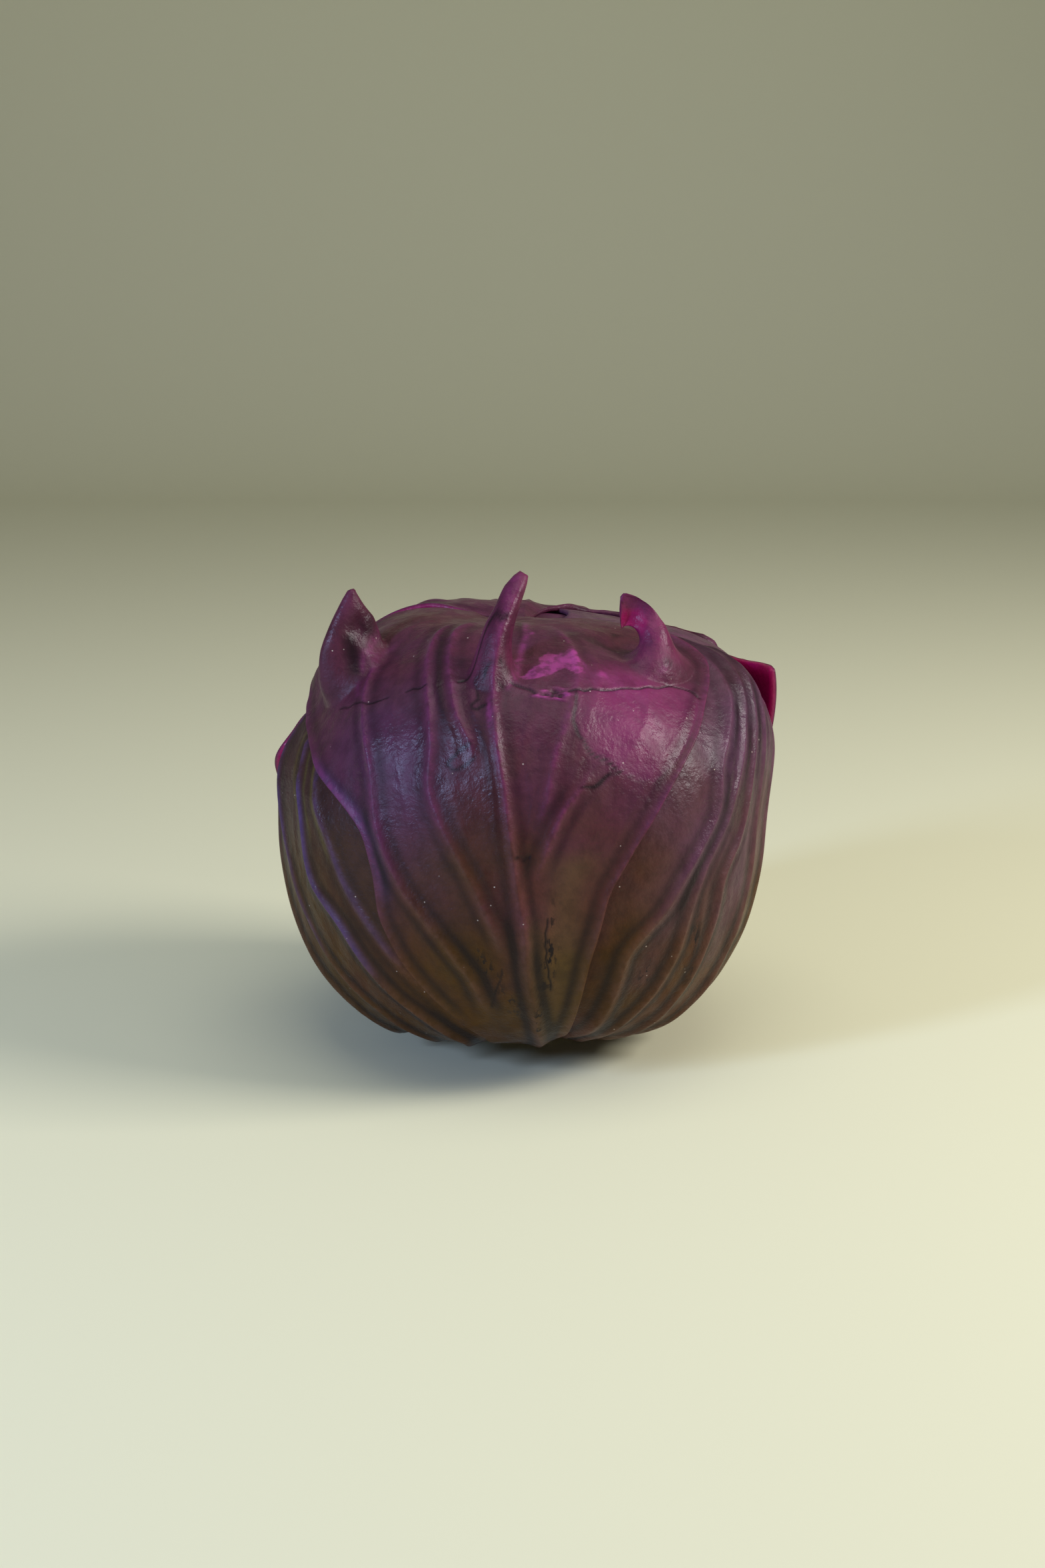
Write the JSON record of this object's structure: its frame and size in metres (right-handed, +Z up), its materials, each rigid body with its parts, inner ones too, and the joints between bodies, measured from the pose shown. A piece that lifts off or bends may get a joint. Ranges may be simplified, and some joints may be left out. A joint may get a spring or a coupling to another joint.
{
  "type": "red cabbage",
  "caption": "Round red cabbage head wrapped in ribbed purple leaves, with curled leaf tips at the crown and a flat cut stem below.",
  "frame": {"origin": "centre of the cut stem's flat face, which stands on the floor", "axes": "+Z up through the crown, -Y towards the side with the broad front midrib, +X to the right of that side"},
  "size_m": [0.1518, 0.147, 0.147],
  "materials": {
    "front_leaf": "waxy matt leaf skin, aubergine purple with lighter magenta ribs, olive brown towards the foot",
    "left_leaf": "waxy matt leaf skin, dark violet with lilac ribs",
    "right_leaf": "waxy matt leaf skin, brownish purple with mauve ribs",
    "back_leaf": "waxy matt leaf skin, aubergine purple outside, deep magenta inside",
    "inner_head": "smooth waxy leaves, purple",
    "stem_stump": "cut stem, pale and fibrous with a dry brown rim"
  },
  "bodies": {
    "root": {"front_leaf": "front_leaf", "left_leaf": "left_leaf", "right_leaf": "right_leaf", "back_leaf": "back_leaf", "inner_head": "inner_head", "stem_stump": "stem_stump"}
  },
  "joints": []
}
